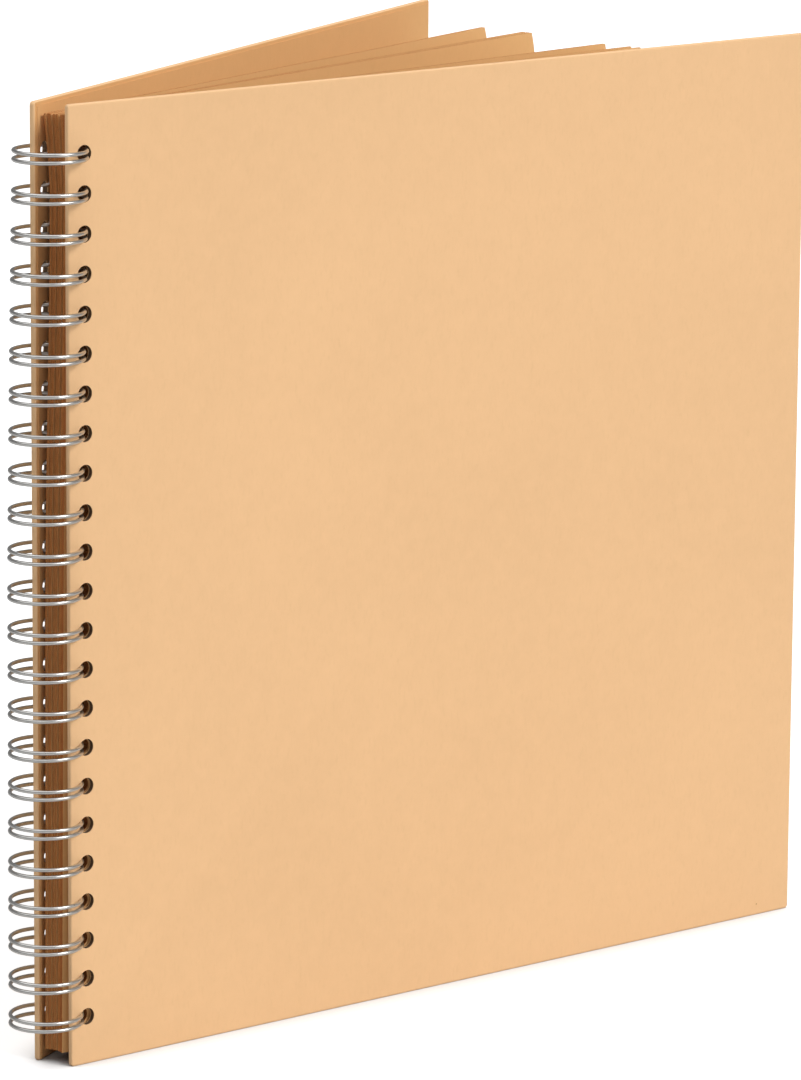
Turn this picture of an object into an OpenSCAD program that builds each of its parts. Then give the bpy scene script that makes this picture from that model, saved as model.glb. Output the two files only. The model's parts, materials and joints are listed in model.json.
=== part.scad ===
// Wire-bound sketchbook, standing open on its bottom edges.
// Every leaf turns on the axis of the wire loops, and the loops run through every leaf's holes.

/* [Covers] */
// Width of a cover, from its punched edge to its fore-edge
cover_w = 316; // [200:1:340]
// Height of a cover
cover_h = 311; // [298:0.5:320]
// Thickness of the grey board inside a cover
board_t = 1.5; // [1:0.1:2]
// Thickness of the covering paper and of the endpaper
skin_t = 0.2; // [0.15:0.01:0.25]
// Width of covering paper turned in over the board's edges
turn_in = 15; // [10:1:20]
// How far the endpaper stays back from the cover's edges
endpaper_inset = 1.5; // [1:0.5:5]
// Radius of the cover's corners
corner_r = 1.2; // [0.6:0.2:4]

/* [Sheets] */
// Number of sheets
sheet_count = 30; // [10:1:30]
// Thickness of one sheet
sheet_t = 0.17; // [0.1:0.01:0.17]
// Air between neighbouring sheets in the closed book
sheet_air = 0.03; // [0.02:0.01:0.03]
// Width of a sheet, with its punched strip
sheet_w = 305; // [180:1:313]
// Height of a sheet
sheet_h = 303; // [292:1:309]

/* [Binding] */
// Number of wire loops
loop_count = 23; // [5:1:23]
// Distance from loop to loop
loop_pitch = 12.7; // [12.7:0.1:12.7]
// Diameter of the binding wire
wire_d = 1.3; // [1.1:0.05:1.3]
// Radius of a loop, to the middle of the wire
loop_r = 11.5; // [11.5:0.1:12.1]
// Distance between the two wires of one loop
leg_gap = 3.2; // [2.6:0.1:3.2]
// Diameter of the punched holes
hole_d = 5.5; // [5.2:0.1:5.5]
// From a leaf's punched edge to the middle of its holes
hole_margin = 6.35; // [5.5:0.05:6.35]

/* [Opening] */
// Angle between the two covers
open_angle = 27; // [10:1:60]

/* [Hidden] */
$fn = 48;

kraft = "#DFB182";
kraft_inside = "#D29A60";
kraft_sheet = "#D8A66E";
greyboard = "#8C8479";
steel = "#C9C9CC";

cover_t = board_t + 3 * skin_t;
wire_r = wire_d / 2;
sheet_lift = (cover_h - sheet_h) / 2;
first_loop_z = (cover_h - (loop_count - 1) * loop_pitch) / 2;

// Each leaf keeps a fixed distance from the loops' axis, counted towards the back cover,
// and its holes lie where its plane meets the loops
stack_pitch = sheet_t + sheet_air;
stack_top = 2.4;
front_inner = -3.6;
front_offset = front_inner - cover_t / 2;
// The seam of the loops lies in the gap between the last sheet and the back cover
seam_gap = 3;
back_inner = stack_top + seam_gap;
back_offset = back_inner + cover_t / 2;
function sheet_offset(k) = stack_top - (k - 0.5) * stack_pitch;
function hole_reach(offset) = sqrt(loop_r * loop_r - offset * offset);

// Angles on a loop, counted from the back cover's direction
seam_angle = asin((stack_top + seam_gap / 2) / loop_r);
seam_bend_r = 1.5;
bend_thinning = 0.03;
bend_lap = 0.1;
leg_start = seam_angle + atan(seam_bend_r / loop_r);
// The closed end of a loop stops short of the seam
tip_angle = seam_angle - 9;
tip_bend_r = leg_gap / 2;
leg_end = 360 + tip_angle - atan(tip_bend_r / loop_r);

// The origin is the middle of the open book's footprint
back_reach = hole_reach(back_offset) - hole_margin + cover_w;
front_reach = hole_reach(front_offset) - hole_margin + cover_w;
loop_outer = loop_r + wire_r;
fore_edge_y = front_reach * sin(open_angle) + (cover_t - front_inner) * cos(open_angle);
axis_x = -(back_reach - loop_outer) / 2;
axis_y = (fore_edge_y - loop_outer) / 2;

function sheet_name(k) = str("sheet_", k < 10 ? "0" : "", k);

// The sheets hang in loose bunches, as [sheet after the last, first share, last share],
// where a share is the part of the covers' opening, counted from the back cover
bunches = [
    [4, 0.152, 0.157],
    [6, 0.260, 0.263],
    [10, 0.268, 0.276],
    [13, 0.472, 0.477],
    [15, 0.547, 0.550],
    [17, 0.572, 0.575],
    [31, 0.840, 0.960],
];
function bunch_of(k, b = 0) = k < bunches[b][0] ? b : bunch_of(k, b + 1);
function share(k) =
    let (b = bunch_of(k), first = b == 0 ? 1 : bunches[b - 1][0])
    let (step = (k - first) / (bunches[b][0] - first - 1))
    bunches[b][1] + (bunches[b][2] - bunches[b][1]) * step;

// Puts a leaf onto the loops. It is drawn flat, its height along y, with the middle of its
// thickness on z = 0 and the middle of its holes on x = 0. turn is its angle from the back cover.
module on_loops(turn, offset) {
    translate([axis_x, axis_y, 0])
        rotate([90, 0, -turn])
            translate([hole_reach(offset), 0, -offset])
                children();
}

module holes(depth) {
    for (i = [0:loop_count - 1])
        translate([0, first_loop_z + i * loop_pitch, 0])
            cylinder(h = depth + 2, d = hole_d, center = true);
}

module cover_outline(inset) {
    r = max(corner_r - inset, skin_t);
    x0 = inset - hole_margin;
    x1 = cover_w - hole_margin - inset;
    y1 = cover_h - inset;
    translate([x0, inset + r])
        square([x1 - x0, y1 - inset - 2 * r]);
    translate([x0 + r, inset])
        square([x1 - x0 - 2 * r, y1 - inset]);
    for (x = [x0 + r, x1 - r], y = [inset + r, y1 - r])
        translate([x, y])
            circle(r);
}

// One layer of a cover, between two heights above its outside face
module layer(from, to) {
    translate([0, 0, from - cover_t / 2])
        linear_extrude(to - from)
            children();
}

// The covering paper goes round the board's edges onto its inside
module wrap() {
    difference() {
        layer(0, board_t + 2 * skin_t) cover_outline(0);
        layer(skin_t, skin_t + board_t) cover_outline(skin_t);
        layer(skin_t + board_t, cover_t) cover_outline(turn_in);
        holes(cover_t);
    }
}

module board() {
    difference() {
        layer(skin_t, skin_t + board_t) cover_outline(skin_t);
        holes(cover_t);
    }
}

// The endpaper lies on the board, and steps up over the covering paper that is turned in
module endpaper() {
    difference() {
        union() {
            layer(board_t + skin_t, board_t + 2 * skin_t) cover_outline(turn_in);
            layer(board_t + 2 * skin_t, cover_t)
                difference() {
                    cover_outline(endpaper_inset);
                    cover_outline(turn_in + skin_t);
                }
        }
        holes(cover_t);
    }
}

// The outside faces look away from the sheets
module on_back() {
    on_loops(0, back_offset)
        children();
}

module on_front() {
    on_loops(open_angle, front_offset)
        mirror([0, 0, 1])
            children();
}

module back_wrap() { color(kraft) on_back() wrap(); }
module back_board() { color(greyboard) on_back() board(); }
module back_endpaper() { color(kraft_inside) on_back() endpaper(); }
module front_wrap() { color(kraft) on_front() wrap(); }
module front_board() { color(greyboard) on_front() board(); }
module front_endpaper() { color(kraft_inside) on_front() endpaper(); }

// Sheet 1 is next to the back cover
module sheet(k) {
    color(kraft_sheet)
        on_loops(share(k) * open_angle, sheet_offset(k))
            difference() {
                translate([-hole_margin, sheet_lift, -sheet_t / 2])
                    cube([sheet_w, sheet_h, sheet_t]);
                holes(sheet_t);
            }
}

// A stretch of wire bent to a circle round z, from one angle to another
module wire_arc(r, from, to, thin = 0) {
    rotate_extrude(start = from, angle = to - from)
        translate([r, 0])
            circle(wire_r - thin);
}

// A tight bend is drawn a little thinner, and its ends reach into the straighter wire
module wire_bend(r, from, to) {
    lap = bend_lap / r * 180 / PI;
    rotate([0, -90, 0])
        wire_arc(r, from - lap, to + lap, bend_thinning);
}

module loop() {
    for (side = [-1, 1])
        translate([0, 0, side * leg_gap / 2])
            wire_arc(loop_r, leg_start, leg_end);
    // Closed end, from the lower wire to the upper one
    rotate([0, 0, leg_end])
        translate([loop_r, 0, 0])
            wire_bend(tip_bend_r, 0, 180);
}

// From one loop's upper wire to the next loop's lower wire, along the seam
module seam_link() {
    low = leg_gap / 2 + seam_bend_r;
    high = loop_pitch - low;
    rotate([0, 0, leg_start])
        translate([loop_r, 0, 0]) {
            translate([0, 0, low])
                wire_bend(seam_bend_r, 180, 270);
            translate([0, 0, high])
                wire_bend(seam_bend_r, 270, 360);
            translate([0, -seam_bend_r, low])
                cylinder(h = high - low, r = wire_r);
        }
}

module wire_binding() {
    color(steel)
        translate([axis_x, axis_y, first_loop_z]) {
            for (i = [0:loop_count - 1])
                translate([0, 0, i * loop_pitch])
                    loop();
            for (i = [0:loop_count - 2])
                translate([0, 0, i * loop_pitch])
                    seam_link();
        }
}

wire_binding();
back_wrap();
back_board();
back_endpaper();
front_wrap();
front_board();
front_endpaper();
for (k = [1:sheet_count])
    sheet(k);
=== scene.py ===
"""Kraft sketchbook with hard covers and a double-loop wire binding, standing open on its bottom edges.

Every leaf is shaped in its own leaf frame: x runs from the loops' axis to the fore-edge, y points
out of the leaf towards the back cover, and z is up. A leaf matrix puts it where the CAD has it.
"""
import json
import math

import bmesh
import bpy
from mathutils import Matrix, Vector


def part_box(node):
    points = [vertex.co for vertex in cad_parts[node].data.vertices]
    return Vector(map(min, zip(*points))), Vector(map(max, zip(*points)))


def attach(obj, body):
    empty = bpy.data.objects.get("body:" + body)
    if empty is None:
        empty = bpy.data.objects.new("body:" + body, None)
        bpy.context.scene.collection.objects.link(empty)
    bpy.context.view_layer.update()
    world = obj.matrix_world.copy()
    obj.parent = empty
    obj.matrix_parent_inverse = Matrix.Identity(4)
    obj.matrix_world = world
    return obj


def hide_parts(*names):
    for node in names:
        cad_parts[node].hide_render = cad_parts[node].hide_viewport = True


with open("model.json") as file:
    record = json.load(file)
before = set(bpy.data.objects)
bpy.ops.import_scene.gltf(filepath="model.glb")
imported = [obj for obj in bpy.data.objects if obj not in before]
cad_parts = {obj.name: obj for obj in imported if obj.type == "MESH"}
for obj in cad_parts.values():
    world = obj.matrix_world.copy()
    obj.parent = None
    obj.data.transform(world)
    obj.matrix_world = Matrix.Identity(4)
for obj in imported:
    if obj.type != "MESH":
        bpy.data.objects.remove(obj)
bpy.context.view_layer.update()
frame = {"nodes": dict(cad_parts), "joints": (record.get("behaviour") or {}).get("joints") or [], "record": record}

# ---------------------------------------------------------------- sizes, in metres
LOOP_COUNT = 23
LOOP_PITCH = 0.0127
LOOP_R = 0.0115
WIRE_R = 0.00065
HOLE_R = 0.00275
HOLE_MARGIN = 0.00635
CLEAR = 0.001  # how far a cutter reaches past what it cuts

# Covers
SKIN = 0.0002
TURN_IN = 0.015
CORNER_R = 0.0012
COVER_EDGE_R = 0.00055
MITRE_LENGTH = 0.022
MITRE_DEPTH = 0.00008
MITRE_HALF_WIDTH = 0.00007
MITRE_CORNER = 0.0004

# Sheets: how they droop, bow, sag, curl and lean
DROOP = math.radians(0.55)
PUNCHED_STRIP = 0.014
BOW_FROM = 2 * HOLE_MARGIN + 0.004
BOW = 0.0012
SAG = 0.0011
EXTRA_SAG = 0.0026
CURL = 0.002
CURL_HEIGHT = 0.014
CURL_WIDTH = 0.09
LEAN = 0.0022
LEAN_LESS = 0.00013
LEAN_HEIGHT = 0.024
LEAN_WIDTH = 0.07
SWEEP = 0.0016

# Wire. A half gap is half the distance between a loop's two strands
SEAM_LEVEL = 0.0039
SEAM_BEND_R = 0.0015
ROOT_HALF_GAP = 0.00145
TIP_HALF_GAP = 0.00105
TIP_CLEARANCE = math.radians(9)
TWIST_AT_FOOT = -0.12
TWIST_AT_MIDDLE = -0.085
TWIST_AT_HEAD = 0.11

# Share of a face's normal along y above which the face counts as flat
FLAT_COVER = 0.97
FLAT_SHEET = 0.7

JOINTS = {j["name"]: j for j in frame["joints"]}
FRONT_JOINT = JOINTS["front_cover_turn"]
AXIS = Vector(FRONT_JOINT["pos_m"])
OPEN_ANGLE = math.radians(-FRONT_JOINT["range_deg"][0])
SHARES = {c["joint"]: c["ratio"] for c in frame["record"]["behaviour"]["couplings"]}
SHEETS = sorted(n for n in frame["nodes"] if n.startswith("sheet_"))


def leaf_matrix(turn):
    """From a leaf's own frame to the row frame. turn is the leaf's angle from the back cover."""
    return Matrix.Translation((AXIS.x, AXIS.y, 0)) @ Matrix.Rotation(-turn, 4, "Z")


def leaf_box(node, turn):
    """Lowest and highest corner of a CAD node, in its leaf frame."""
    into = leaf_matrix(turn).inverted()
    corners = [into @ v.co for v in frame["nodes"][node].data.vertices]
    lo = Vector(min(c[i] for c in corners) for i in range(3))
    hi = Vector(max(c[i] for c in corners) for i in range(3))
    return lo, hi


def held(value):
    """value, kept between 0 and 1."""
    return min(max(value, 0.0), 1.0)


def eased(t):
    """From 0 to 1 with a soft start and a soft end."""
    return t * t * (3 - 2 * t)


# ---------------------------------------------------------------- mesh helpers
def new_object(name, mesh):
    obj = bpy.data.objects.new(name, mesh)
    bpy.context.scene.collection.objects.link(obj)
    return obj


def object_from_bmesh(name, bm, matrix=None):
    mesh = bpy.data.meshes.new(name)
    if matrix is not None:
        bm.transform(matrix)
    bm.normal_update()
    bm.to_mesh(mesh)
    bm.free()
    return new_object(name, mesh)


def smooth(obj, angle=math.radians(35)):
    obj.data.shade_smooth()
    obj.data.set_sharp_from_angle(angle=angle)


def mesh_from_curve(obj):
    """The evaluated curve as a mesh object of the same name."""
    depsgraph = bpy.context.evaluated_depsgraph_get()
    mesh = bpy.data.meshes.new_from_object(obj.evaluated_get(depsgraph))
    name = obj.name
    bpy.data.objects.remove(obj)
    return new_object(name, mesh)


def cut(obj, cutter):
    """Takes cutter out of obj, and deletes cutter."""
    modifier = obj.modifiers.new("cut", "BOOLEAN")
    modifier.operation = "DIFFERENCE"
    modifier.solver = "EXACT"
    modifier.object = cutter
    depsgraph = bpy.context.evaluated_depsgraph_get()
    mesh = bpy.data.meshes.new_from_object(obj.evaluated_get(depsgraph))
    obj.modifiers.clear()
    obj.data = mesh
    bpy.data.objects.remove(cutter)


def rounded_slab(name, lo, hi, corner_r, edge_r):
    """A plate in the leaf frame between two corners, with round corners and round edges."""
    curve = bpy.data.curves.new(name, "CURVE")
    curve.dimensions = "2D"
    curve.fill_mode = "BOTH"
    curve.offset = -edge_r
    curve.bevel_depth = edge_r
    curve.bevel_resolution = 3
    curve.extrude = max((hi.y - lo.y) / 2 - edge_r, 1e-6)
    outline = []
    for cx, cz, start in (
        (hi.x - corner_r, hi.z - corner_r, 0),
        (lo.x + corner_r, hi.z - corner_r, 90),
        (lo.x + corner_r, lo.z + corner_r, 180),
        (hi.x - corner_r, lo.z + corner_r, 270),
    ):
        for step in range(7):
            a = math.radians(start + step * 15)
            outline.append((cx + corner_r * math.cos(a), cz + corner_r * math.sin(a)))
    spline = curve.splines.new("POLY")
    spline.points.add(len(outline) - 1)
    for point, (x, z) in zip(spline.points, outline):
        point.co = (x, z, 0, 1)
    spline.use_cyclic_u = True
    obj = mesh_from_curve(new_object(name, curve))
    upright = Matrix.Translation((0, (lo.y + hi.y) / 2, 0)) @ Matrix.Rotation(math.pi / 2, 4, "X")
    obj.data.transform(upright)
    bm = bmesh.new()
    bm.from_mesh(obj.data)
    bmesh.ops.remove_doubles(bm, verts=bm.verts, dist=1e-6)
    bmesh.ops.recalc_face_normals(bm, faces=bm.faces)
    bm.to_mesh(obj.data)
    bm.free()
    return obj


def hole_heights(lo, hi):
    middle = (lo.z + hi.z) / 2
    return [middle + (i - (LOOP_COUNT - 1) / 2) * LOOP_PITCH for i in range(LOOP_COUNT)]


def hole_cutter(x, heights, y0, y1):
    bm = bmesh.new()
    for z in heights:
        along_y = Matrix.Translation((x, (y0 + y1) / 2, z)) @ Matrix.Rotation(math.pi / 2, 4, "X")
        bmesh.ops.create_cone(
            bm,
            cap_ends=True,
            segments=40,
            radius1=HOLE_R,
            radius2=HOLE_R,
            depth=y1 - y0,
            matrix=along_y,
        )
    return object_from_bmesh("hole_cutter", bm)


# ---------------------------------------------------------------- materials
def material(name):
    mat = bpy.data.materials.new(name)
    mat.use_nodes = True
    tree = mat.node_tree
    tree.nodes.clear()
    out = tree.nodes.new("ShaderNodeOutputMaterial")
    shader = tree.nodes.new("ShaderNodeBsdfPrincipled")
    tree.links.new(shader.outputs["BSDF"], out.inputs["Surface"])
    return mat, tree, shader


def node(tree, kind, inputs=None, **settings):
    made = tree.nodes.new(kind)
    for key, value in settings.items():
        setattr(made, key, value)
    for key, value in (inputs or {}).items():
        if isinstance(value, bpy.types.NodeSocket):
            tree.links.new(value, made.inputs[key])
        else:
            made.inputs[key].default_value = value
    return made


def stretched(tree, scale):
    """Object coordinates, scaled along each axis."""
    place = node(tree, "ShaderNodeTexCoord").outputs["Object"]
    return node(tree, "ShaderNodeMapping", {"Vector": place, "Scale": scale}).outputs["Vector"]


def noise(tree, vector, scale, detail=3.0, rough=0.55):
    inputs = {"Vector": vector, "Scale": scale, "Detail": detail, "Roughness": rough}
    return node(tree, "ShaderNodeTexNoise", inputs).outputs["Fac"]


def ramp(tree, value, low, high, to_low=0.0, to_high=1.0):
    inputs = {"Value": value, "From Min": low, "From Max": high, "To Min": to_low, "To Max": to_high}
    return node(tree, "ShaderNodeMapRange", inputs, clamp=True).outputs["Result"]


def math_node(tree, operation, a, b):
    return node(tree, "ShaderNodeMath", {0: a, 1: b}, operation=operation).outputs["Value"]


def times(tree, a, b):
    return math_node(tree, "MULTIPLY", a, b)


def mix(tree, factor, a, b, blend="MIX"):
    made = node(tree, "ShaderNodeMix", {"Factor": factor}, data_type="RGBA", blend_type=blend)
    for socket, value in ((made.inputs[6], a), (made.inputs[7], b)):
        if isinstance(value, bpy.types.NodeSocket):
            tree.links.new(value, socket)
        else:
            socket.default_value = (*value, 1.0)
    return made.outputs[2]


def fibres(tree, coords, scale, width):
    """Short thin strokes: the crossings of a stretched cell pattern, bent by noise."""
    wobble = node(tree, "ShaderNodeTexNoise", {"Vector": coords, "Scale": scale * 0.35, "Detail": 2.0})
    bent = node(tree, "ShaderNodeVectorMath", {0: coords, 1: wobble.outputs["Color"]}, operation="ADD")
    pattern = {"Vector": bent.outputs["Vector"], "Scale": scale}
    cells = node(tree, "ShaderNodeTexVoronoi", pattern, feature="DISTANCE_TO_EDGE")
    return ramp(tree, cells.outputs["Distance"], width, 0.0)


def kraft(name, base, mottle=1.0, specks=1.0):
    """Unbleached paper: cloudy formation, short fibres, a few dark specks, and a soft tooth."""
    mat, tree, shader = material(name)
    even = stretched(tree, (1, 1, 1))
    laid = stretched(tree, (1, 1, 0.35))
    cloud = noise(tree, even, 9.0, 2.0)
    flock = noise(tree, even, 170.0, 4.0, 0.6)
    grain = noise(tree, laid, 900.0, 4.0, 0.65)
    tooth = noise(tree, even, 2600.0, 2.0)
    light = tuple(min(c * 1.10 + 0.012, 1.0) for c in base)
    dark = tuple(c * 0.88 for c in base)
    brown = tuple(c * f for c, f in zip(base, (0.62, 0.52, 0.42)))
    patches = ramp(tree, cloud, 0.3, 0.7, 0.5 - 0.10 * mottle, 0.5 + 0.10 * mottle)
    colour = mix(tree, patches, dark, light)
    colour = mix(tree, ramp(tree, flock, 0.35, 0.75, 0.0, 0.25 * mottle), colour, light)
    colour = mix(tree, ramp(tree, grain, 0.52, 0.78, 0.0, 0.28), colour, dark)
    long_fibres = fibres(tree, laid, 210.0, 0.035)
    gate = ramp(tree, noise(tree, even, 120.0, 1.0), 0.55, 0.68)
    colour = mix(tree, times(tree, times(tree, long_fibres, gate), 0.45), colour, light)
    spots = node(tree, "ShaderNodeTexVoronoi", {"Vector": even, "Scale": 95.0, "Randomness": 1.0})
    spot_size = node(tree, "ShaderNodeSeparateColor", {"Color": spots.outputs["Color"]})
    limit = ramp(tree, spot_size.outputs["Red"], 0.955, 1.0, 0.0, 0.055 * specks)
    speck = math_node(tree, "LESS_THAN", spots.outputs["Distance"], limit)
    colour = mix(tree, times(tree, speck, 0.8), colour, brown)
    tree.links.new(colour, shader.inputs["Base Color"])
    tree.links.new(ramp(tree, grain, 0.3, 0.8, 0.80, 0.94), shader.inputs["Roughness"])
    shader.inputs["Specular IOR Level"].default_value = 0.25
    shader.inputs["Sheen Weight"].default_value = 0.06
    shader.inputs["Sheen Roughness"].default_value = 0.6
    height = math_node(tree, "ADD", times(tree, tooth, 0.35), times(tree, grain, 0.65))
    height = math_node(tree, "ADD", height, times(tree, long_fibres, 0.12))
    bump = node(tree, "ShaderNodeBump", {"Height": height, "Strength": 0.35, "Distance": 0.00006})
    tree.links.new(bump.outputs["Normal"], shader.inputs["Normal"])
    return mat


def cut_paper(name, base):
    """The cut edge of paper or board: fine layers across its thickness, and a raw, fuzzy face."""
    mat, tree, shader = material(name)
    even = stretched(tree, (1, 1, 1))
    layers = noise(tree, stretched(tree, (6, 6, 0.4)), 700.0, 3.0)
    fuzz = noise(tree, even, 2200.0, 3.0)
    light = tuple(min(c * 1.12, 1.0) for c in base)
    dark = tuple(c * 0.74 for c in base)
    colour = mix(tree, ramp(tree, layers, 0.35, 0.65), dark, light)
    # Each piece is darkened by its own random amount. On the sheets this also stands in for the shade in the gaps
    # between them, so there it is partly painted shade.
    random_tone_and_painted_gap_shade = ramp(tree, node(tree, "ShaderNodeObjectInfo").outputs["Random"], 0.0, 1.0)
    colour = mix(tree, random_tone_and_painted_gap_shade, mix(tree, 0.45, colour, dark, "MULTIPLY"), colour)
    tree.links.new(colour, shader.inputs["Base Color"])
    tree.links.new(ramp(tree, fuzz, 0.3, 0.7, 0.85, 0.97), shader.inputs["Roughness"])
    shader.inputs["Specular IOR Level"].default_value = 0.15
    bump = node(tree, "ShaderNodeBump", {"Height": fuzz, "Strength": 0.5, "Distance": 0.00005})
    tree.links.new(bump.outputs["Normal"], shader.inputs["Normal"])
    return mat


def bright_wire(name, clean, dull):
    """Nickel-coloured wire: drawn lines along it, faint scuffs, and a hazy polish."""
    mat, tree, shader = material(name)
    even = stretched(tree, (1, 1, 1))
    drawn = noise(tree, stretched(tree, (1, 1, 14)), 420.0, 3.0)
    scuff = noise(tree, even, 260.0, 4.0, 0.7)
    colour = mix(tree, ramp(tree, scuff, 0.4, 0.75), clean, dull)
    tree.links.new(colour, shader.inputs["Base Color"])
    shader.inputs["Metallic"].default_value = 1.0
    tree.links.new(ramp(tree, scuff, 0.3, 0.8, 0.27, 0.34), shader.inputs["Roughness"])
    bump = node(tree, "ShaderNodeBump", {"Height": drawn, "Strength": 0.12, "Distance": 0.00003})
    tree.links.new(bump.outputs["Normal"], shader.inputs["Normal"])
    return mat


COVER_PAPER = kraft("cover_kraft", (0.83, 0.515, 0.265))
COVER_RUBBED = kraft("cover_kraft_rubbed", (0.84, 0.53, 0.28), specks=0.4)
# The turned-in strip is the cover paper itself, given a darker, more orange colour: painted shade and painted
# orange bounce light from the kraft inside the book.
COVER_TURNED_IN_PAINTED_SHADE = kraft("cover_kraft_turned_in", (0.76, 0.42, 0.165), specks=0.4)
ENDPAPER = kraft("endpaper_kraft", (0.74, 0.41, 0.16), mottle=0.8)
SHEET_PAPER = kraft("sheet_kraft", (0.72, 0.405, 0.16), mottle=0.8, specks=0.8)
# The deep red-brown of the sheet edges is partly the cut paper's own darker colour and partly painted shade: the
# shade in the gaps between the sheets and the dim light at the spine.
SHEET_EDGE_WITH_PAINTED_SHADE = cut_paper("sheet_cut_edge", (0.52, 0.195, 0.055))
BOARD = cut_paper("grey_board", (0.20, 0.125, 0.075))
WIRE = bright_wire("binding_wire", clean=(0.62, 0.61, 0.59), dull=(0.54, 0.53, 0.51))


def paint(node_name, *materials):
    slots = frame["nodes"][node_name].data.materials
    slots.clear()
    for mat in materials:
        slots.append(mat)


# ---------------------------------------------------------------- covers
def box_mesh(name, lo, hi):
    bm = bmesh.new()
    bmesh.ops.create_cube(bm, size=1.0)
    for v in bm.verts:
        v.co = Vector(lo[i] + (v.co[i] + 0.5) * (hi[i] - lo[i]) for i in range(3))
    return object_from_bmesh(name, bm)


def mitre(x, z, out_x, out_z, inside_y):
    """The cutter of the fine diagonal line where the turned-in paper meets at a corner."""
    lo = Vector((-MITRE_LENGTH, -MITRE_DEPTH, -MITRE_HALF_WIDTH))
    groove = box_mesh("mitre", lo, Vector((CLEAR, MITRE_DEPTH, MITRE_HALF_WIDTH)))
    corner = Matrix.Translation((x - out_x * MITRE_CORNER, inside_y, z - out_z * MITRE_CORNER))
    groove.data.transform(corner @ Matrix.Rotation(-math.atan2(out_z, out_x), 4, "Y"))
    return groove


def cover_wrap(side, body, turn, inside):
    """The kraft paper round a cover's board. inside is +1 where the sheets lie towards +y."""
    lo, hi = leaf_box(side + "_wrap", turn)
    board_lo, board_hi = leaf_box(side + "_board", turn)
    wrap = rounded_slab(side + "_cover_paper", lo, hi, CORNER_R, COVER_EDGE_R)
    middle = (board_lo.y + board_hi.y) / 2
    window_y = (middle, hi.y + CLEAR) if inside > 0 else (lo.y - CLEAR, middle)
    window_lo = Vector((lo.x + TURN_IN, window_y[0], lo.z + TURN_IN))
    window_hi = Vector((hi.x - TURN_IN, window_y[1], hi.z - TURN_IN))
    cut(wrap, rounded_slab("pocket", board_lo, board_hi, CORNER_R - SKIN, 1e-5))
    cut(wrap, box_mesh("window", window_lo, window_hi))
    for x, out_x in ((lo.x, -1), (hi.x, 1)):
        for z, out_z in ((lo.z, -1), (hi.z, 1)):
            cut(wrap, mitre(x, z, out_x, out_z, hi.y if inside > 0 else lo.y))
    cut(wrap, hole_cutter(lo.x + HOLE_MARGIN, hole_heights(lo, hi), lo.y - CLEAR, hi.y + CLEAR))
    for mat in (COVER_PAPER, COVER_RUBBED, COVER_TURNED_IN_PAINTED_SHADE):
        wrap.data.materials.append(mat)
    for face in wrap.data.polygons:
        to_edge = min(
            face.center.x - lo.x, hi.x - face.center.x, face.center.z - lo.z, hi.z - face.center.z
        )
        rubbed = abs(face.normal.y) < FLAT_COVER and to_edge < COVER_EDGE_R * 1.01
        # Faces turned in towards the sheets get the copy of the cover paper with painted shade.
        turned_in = face.normal.y * inside > FLAT_COVER
        face.material_index = 2 if turned_in else 1 if rubbed else 0
    wrap.data.transform(leaf_matrix(turn))
    smooth(wrap, math.radians(40))
    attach(wrap, body)
    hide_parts(side + "_wrap")
    paint(side + "_board", BOARD)
    paint(side + "_endpaper", ENDPAPER)


cover_wrap("back", "back_cover", 0.0, -1)
cover_wrap("front", "front_cover", OPEN_ANGLE, 1)


# ---------------------------------------------------------------- sheets
def cut_across(bm, places, axis):
    """New edges right across the mesh, at each of these places along an axis."""
    for place in places:
        geometry = bm.verts[:] + bm.edges[:] + bm.faces[:]
        bmesh.ops.bisect_plane(bm, geom=geometry, dist=1e-7, plane_co=axis * place, plane_no=axis)


def swept(strip, up):
    """Below the head, the punched strip of every sheet is pushed back into the seam gap."""
    return SWEEP * strip**1.5 * eased(held((0.9 - up) / 0.4))


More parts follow.
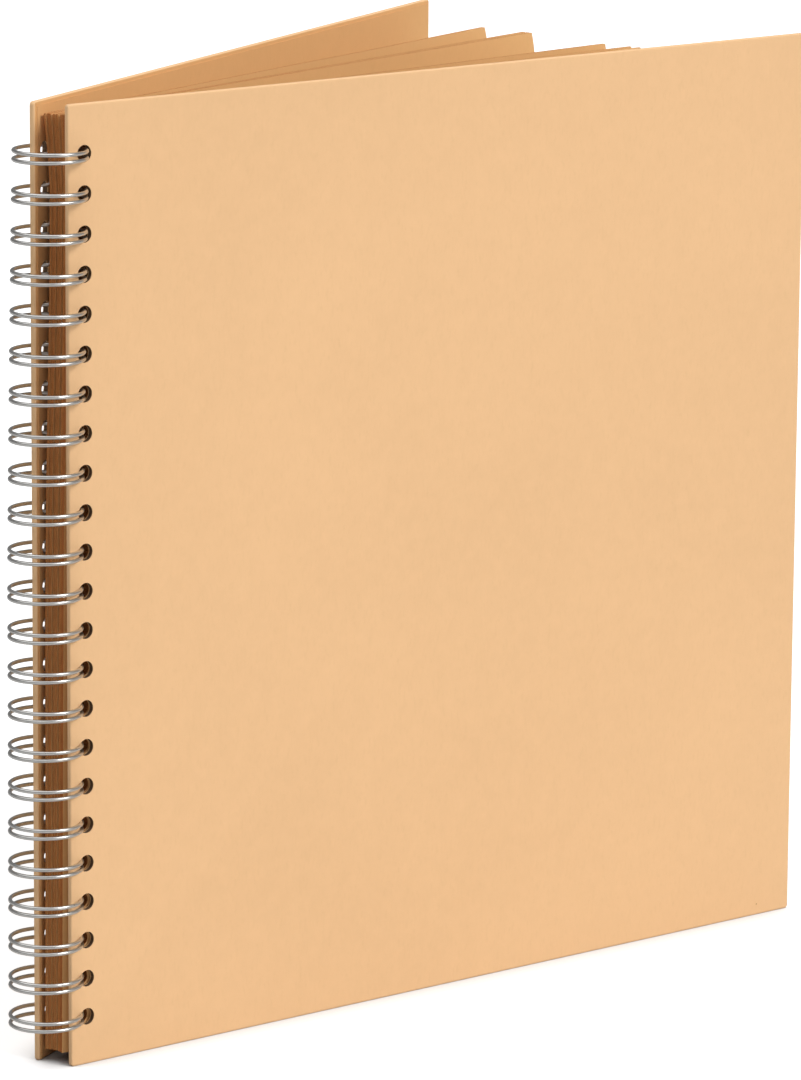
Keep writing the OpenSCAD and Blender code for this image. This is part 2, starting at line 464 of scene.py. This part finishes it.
def sheet_piece(name, index, count):
    """A punched sheet with a slight bow, hanging a little low at its free edge."""
    share = SHARES[name + "_turn"]
    turn = share * OPEN_ANGLE
    lo, hi = leaf_box(name, turn)
    bm = bmesh.new()
    bm.from_mesh(frame["nodes"][name].data)
    bm.transform(leaf_matrix(turn).inverted())
    bmesh.ops.remove_doubles(bm, verts=bm.verts, dist=1e-7)
    start = lo.x + BOW_FROM
    near_spine = [lo.x + PUNCHED_STRIP * i / 10 for i in range(1, 11)]
    beyond = [start + (hi.x - 0.004 - start) * i / 22 for i in range(23)]
    cut_across(bm, near_spine + beyond, Vector((1, 0, 0)))
    below = [lo.z + (hi.z - lo.z) * i / 12 for i in range(1, 12)]
    near_head = [hi.z - LEAN_HEIGHT * (1 - i / 12) for i in range(12)]
    cut_across(bm, below + near_head, Vector((0, 0, 1)))
    bow = BOW * (1 - 0.4 * index / count)
    lean = LEAN - LEAN_LESS * (index // 4)
    sag = SAG + EXTRA_SAG * eased(held((share - 0.15) / 0.35))
    for v in bm.verts:
        s = max(v.co.x - start, 0.0) / (hi.x - start)
        up = (v.co.z - lo.z) / (hi.z - lo.z)
        v.co.z -= sag * s * up * up
        head = max(v.co.z - (hi.z - CURL_HEIGHT), 0.0) / CURL_HEIGHT
        corner = max(v.co.x - (hi.x - CURL_WIDTH), 0.0) / CURL_WIDTH
        spine = max(1 - (v.co.x - lo.x) / LEAN_WIDTH, 0.0)
        v.co.y += bow * math.sin(math.pi * s) * (0.55 + 0.45 * up)
        v.co.y += CURL * head * head * corner
        v.co.y += lean * spine * max(1 - (hi.z - v.co.z) / LEAN_HEIGHT, 0.0) ** 1.3
        v.co.y += swept(max(1 - (v.co.x - lo.x) / PUNCHED_STRIP, 0.0), up)
    pivot = Vector((lo.x + HOLE_MARGIN, 0, (lo.z + hi.z) / 2))
    turn_down = Matrix.Translation(pivot) @ Matrix.Rotation(DROOP, 4, "Y") @ Matrix.Translation(-pivot)
    bm.transform(turn_down)
    bm.normal_update()
    for f in bm.faces:
        f.material_index = 0 if abs(f.normal.y) > FLAT_SHEET else 1
    piece = object_from_bmesh(name + "_paper", bm, leaf_matrix(turn))
    piece.data.materials.append(SHEET_PAPER)
    piece.data.materials.append(SHEET_EDGE_WITH_PAINTED_SHADE)
    smooth(piece, math.radians(30))
    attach(piece, name)
    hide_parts(name)


for number, sheet_name in enumerate(SHEETS):
    sheet_piece(sheet_name, number, len(SHEETS))


# ---------------------------------------------------------------- wire
def wire_path(lo, hi):
    """The middle line of the wire, loop after loop, round the z axis through AXIS."""
    seam = math.asin(SEAM_LEVEL / LOOP_R)
    root = seam + math.atan(SEAM_BEND_R / LOOP_R)
    tip = 2 * math.pi + seam - TIP_CLEARANCE - math.atan(TIP_HALF_GAP / LOOP_R)
    middle = (lo.z + hi.z) / 2
    steps = 64

    def on_loop(angle, z, ahead=0.0):
        x = LOOP_R * math.cos(angle) - ahead * math.sin(angle)
        y = LOOP_R * math.sin(angle) + ahead * math.cos(angle)
        return Vector((AXIS.x + x, AXIS.y + y, z))

    def strand(z, side, order):
        """One strand of a loop, above its middle or below it, from the root to the tip or back."""
        for step in order:
            t = step / steps
            half_gap = ROOT_HALF_GAP + (TIP_HALF_GAP - ROOT_HALF_GAP) * eased(t)
            points.append(on_loop(root + (tip - root) * t, z + side * half_gap))

    def seam_bend(z, side, order):
        """The bend between a strand's root and the seam."""
        for step in order:
            a = math.pi / 2 * step / 6
            along = ROOT_HALF_GAP + SEAM_BEND_R * (1 - math.cos(a))
            points.append(on_loop(root, z + side * along, -SEAM_BEND_R * math.sin(a)))

    points = []
    for i in range(LOOP_COUNT):
        z = middle + (i - (LOOP_COUNT - 1) / 2) * LOOP_PITCH
        if i > 0:
            seam_bend(z, -1, range(6, -1, -1))
        strand(z, -1, range(1, steps + 1))
        for step in range(1, 12):
            a = math.pi * step / 12
            points.append(on_loop(tip, z - TIP_HALF_GAP * math.cos(a), TIP_HALF_GAP * math.sin(a)))
        strand(z, 1, range(steps, 0, -1))
        if i < LOOP_COUNT - 1:
            seam_bend(z, 1, range(0, 7))
    return [twisted(point, lo, hi) for point in points]


def twisted(point, lo, hi):
    """The loops' play in the holes: they turn a little about the seam, one way at the head and
    the other at the foot.
    """
    share = 2 * (point.z - lo.z) / (hi.z - lo.z) - 1
    end = TWIST_AT_HEAD if share > 0 else TWIST_AT_FOOT
    turn = TWIST_AT_MIDDLE + (end - TWIST_AT_MIDDLE) * abs(share) ** 1.2
    seam = AXIS + Vector((math.sqrt(LOOP_R**2 - SEAM_LEVEL**2), SEAM_LEVEL, 0))
    seam.z = 0
    about = Matrix.Translation(seam) @ Matrix.Rotation(turn, 4, "Z") @ Matrix.Translation(-seam)
    return about @ point


def binding_wire():
    curve = bpy.data.curves.new("binding_wire_loops", "CURVE")
    curve.dimensions = "3D"
    curve.bevel_depth = WIRE_R
    curve.bevel_resolution = 3
    curve.use_fill_caps = True
    points = wire_path(*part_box("wire_binding"))
    spline = curve.splines.new("POLY")
    spline.points.add(len(points) - 1)
    for point, place in zip(spline.points, points):
        point.co = (*place, 1)
    wire = mesh_from_curve(new_object("binding_wire_loops", curve))
    wire.data.materials.append(WIRE)
    smooth(wire, math.radians(50))
    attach(wire, "wire")
    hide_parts("wire_binding")


binding_wire()


# ---------------------------------------------------------------- studio
def floor():
    """White paper under the book. Out in the open, a painted glow seen only by the camera makes it look whiter
    than the light it gives back, so it washes out. The glow fades where ambient occlusion is low, so the tight
    corners by the book stay grey: a painted contact shadow on top of the real one.
    """
    bm = bmesh.new()
    bmesh.ops.create_grid(bm, x_segments=1, y_segments=1, size=14.0)
    ground = object_from_bmesh("studio_floor", bm)
    mat, tree, shader = material("studio_floor")
    tone = noise(tree, stretched(tree, (1, 1, 1)), 3.0)
    colour = mix(tree, tone, (0.60, 0.60, 0.60), (0.62, 0.62, 0.62))
    tree.links.new(colour, shader.inputs["Base Color"])
    shader.inputs["Roughness"].default_value = 0.9
    shader.inputs["Specular IOR Level"].default_value = 0.0
    shader.inputs["Emission Color"].default_value = (1, 1, 1, 1)
    # Painted light: a glow only the camera sees, faded within 3 cm of the book by ambient occlusion, which paints
    # the contact shadow.
    seen = node(tree, "ShaderNodeLightPath").outputs["Is Camera Ray"]
    occlusion_for_painted_shadow = node(tree, "ShaderNodeAmbientOcclusion", {"Distance": 0.03}, samples=16).outputs["AO"]
    painted_camera_glow = ramp(tree, occlusion_for_painted_shadow, 0.30, 0.75, 0.0, 0.62)
    tree.links.new(times(tree, seen, painted_camera_glow), shader.inputs["Emission Strength"])
    ground.data.materials.append(mat)


def lights(look, right):
    """A soft key from far to the right of the camera, and a very soft light overhead."""
    for name, strength, spread, towards in (
        ("key", 2.1, 25, right * 0.88 - look * 0.48 + Vector((0, 0, 0.65))),
        ("overhead", 1.7, 80, right * -0.25 - look * 0.10 + Vector((0, 0, 1.00))),
    ):
        sun = bpy.data.lights.new(name, "SUN")
        sun.energy = strength
        sun.angle = math.radians(spread)
        obj = new_object(name, sun)
        obj.rotation_euler = towards.to_track_quat("Z", "Y").to_euler()
    world = bpy.data.worlds.new("studio")
    bpy.context.scene.world = world
    world.use_nodes = True
    back = world.node_tree.nodes["Background"]
    back.inputs["Color"].default_value = (0.98, 0.99, 1.0, 1.0)
    back.inputs["Strength"].default_value = 0.22


def camera():
    """A long lens, 2 m from the book, looking between the covers from the binding side."""
    heading, pitch, roll = math.radians(66.88), math.radians(11.637), math.radians(0.41)
    level = Vector((math.sin(heading), math.cos(heading), 0))
    look = level * math.cos(pitch) - Vector((0, 0, math.sin(pitch)))
    right = Vector((math.cos(heading), -math.sin(heading), 0))
    up = right.cross(look)
    data = bpy.data.cameras.new("camera")
    data.lens = 200.0
    data.sensor_width = 36.0
    data.clip_end = 50.0
    obj = new_object("camera", data)
    place = Vector((AXIS.x - 1.66262, AXIS.y - 0.83083, 0.55542))
    turned_right = right * math.cos(roll) + up * math.sin(roll)
    turned_up = up * math.cos(roll) - right * math.sin(roll)
    axes = Matrix((turned_right, turned_up, -look)).transposed().to_4x4()
    obj.matrix_world = Matrix.Translation(place) @ axes
    bpy.context.scene.camera = obj
    return level, right


LOOK, RIGHT = camera()
floor()
lights(LOOK, RIGHT)
bpy.context.scene.view_settings.view_transform = "Standard"
bpy.context.scene.view_settings.look = "None"
